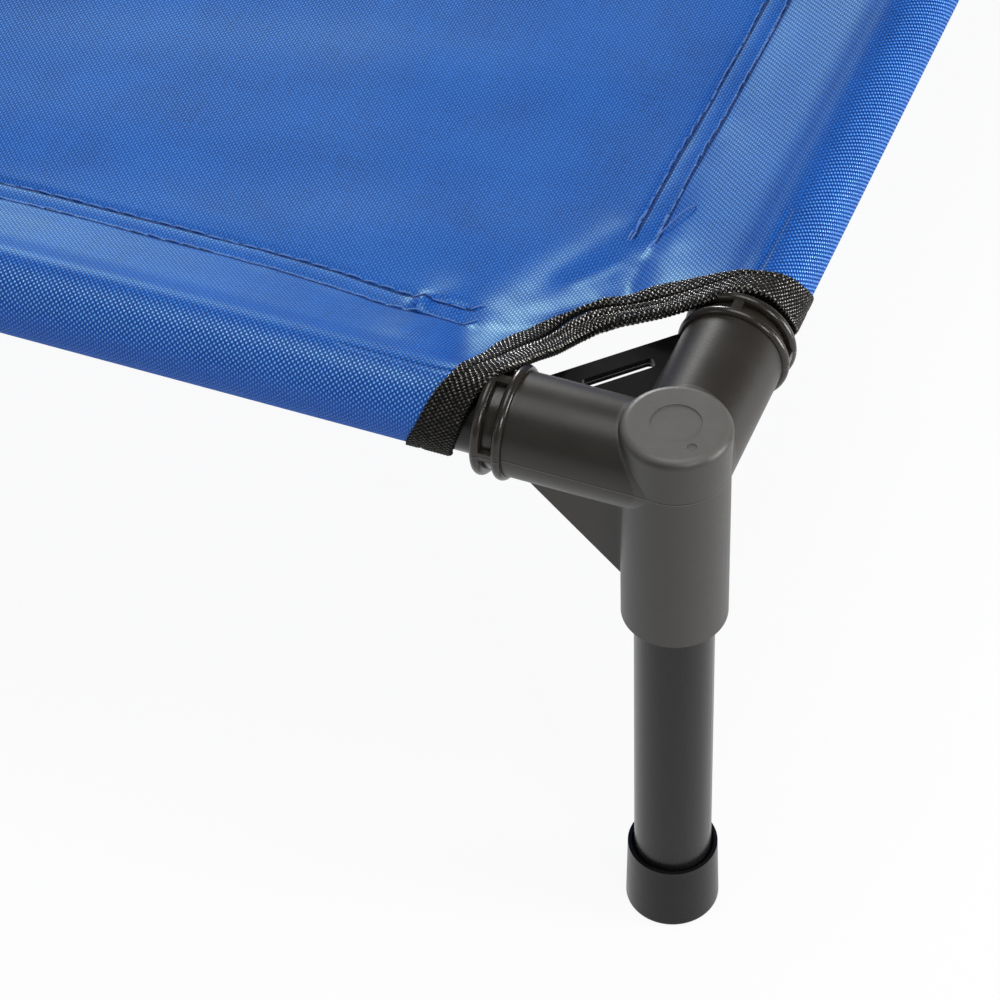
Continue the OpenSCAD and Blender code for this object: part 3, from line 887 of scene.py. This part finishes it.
def seamRows(v):
    rng = np.random.default_rng(7)
    x, y, heading, thick = [], [], [], []
    for side in (-1, 1):
        for row, (longEnd, shortEnd) in enumerate(zip(v["longEnds"], v["shortEnds"])):
            d = cloth["rows"][row]
            for half, off, end, swap in ((halfX, halfY, longEnd, False), (halfY, halfX, shortEnd, True)):
                reach = half - end
                count = int(2 * reach / v["pitch"])
                a = np.linspace(-reach, reach, count)
                wobble = 0.0003 * np.sin(a * 71 + row + 2 * swap) + 0.0002 * np.sin(a * 157 + 3 * side)
                tall, place, wide = cloth["pullShort" if swap else "pullLong"]
                pull = tall * np.exp(-((half - np.abs(a) - place) / wide) ** 2)
                b = side * (off - d + pull + wobble) + rng.normal(0, v["stray"][0], count)
                turn = rng.normal(0, v["stray"][1], count)
                if not swap:  # the last stitch of a long row hooks in from the rail
                    turn[0], turn[-1] = side * v["hook"], -side * v["hook"]
                    b[[0, -1]] -= side * v["hookIn"]
                else:  # a short row is sewn back over its last stitches
                    twice = np.array([0, 1, 1, 2, count - 1, count - 2, count - 2, count - 3])
                    a = np.concatenate([a, a[twice] + rng.normal(0, v["strayTwice"][0], len(twice))])
                    b = np.concatenate([b, b[twice] + rng.normal(0, v["strayTwice"][1], len(twice))])
                    turn = np.concatenate([turn, rng.normal(0, v["strayTwice"][2], len(twice))])
                x.append(b if swap else a)
                y.append(a if swap else b)
                heading.append(turn + (math.pi / 2 if swap else 0))
                twiceSewn = swap & (half - np.abs(a) < end + v["twiceReach"])
                thick.append(np.where(twiceSewn, v["twiceThick"], 1.0))
    return tuple(np.concatenate(p) for p in (x, y, heading, thick))


def makeStitches(material, v):
    x, y, heading, thick = seamRows(v)
    radius = v["radius"] * thick[:, None] * np.array(v["taper"])
    pieces = []
    for name, under in (("seamStitches", False), ("hemStitches", True)):
        points, faces, ends = threadTubes(stitchLines(x, y, heading, v, under), radius, v["flat"])
        if not under:  # one loose end at the corner in view
            local = np.array(v["loose"])
            line = np.stack([halfX - local[:, 0], local[:, 1] - halfY, local[:, 2]], -1)
            line[:, 2] += bedHeight(line[:, 0], line[:, 1]) + v["radius"] * 0.5
            more, moreFaces, moreEnds = threadTubes(line[None], np.full((1, len(line)), v["radius"] * 0.8))
            faces = np.concatenate([faces, moreFaces + len(points)])
            ends = np.concatenate([ends, moreEnds + len(points)])
            points = np.concatenate([points, more])
        piece = addPiece(name, points, faces, material, None, ends)
        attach(piece, "root")
        pieces.append(piece)
    print("stitches:", len(x), "on each side")
    return pieces


makeCamera(view)
makeLights(light)
makeRoom(room)
dressFrame()

clothBlue = wovenCloth(weave, cloth)
tapeBlack = wovenTape(tapeYarn, tape)
threadBlue = sewingThread(thread)
bed = makeCloth(clothBlue, cloth)
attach(bed, "root")
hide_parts("bed_cloth")
bindings = [makeBinding(corner, signs, tapeBlack, tape) for corner, signs in corners.items()]
print("bindings:", len(bindings))
stitches = makeStitches(threadBlue, stitch)

flapReach = sleeve["length"]
flatSize = (2 * (halfY + flapReach), 2 * (halfX + flapReach))
cutCorner = (cloth["cutRail"] + flapReach) ** 2 - 2 * cloth["cutRail"] ** 2 * (1 - math.pi / 4)
flatSize[0] * flatSize[1] - 4 * cutCorner

bpy.context.scene.view_settings.view_transform = "Standard"
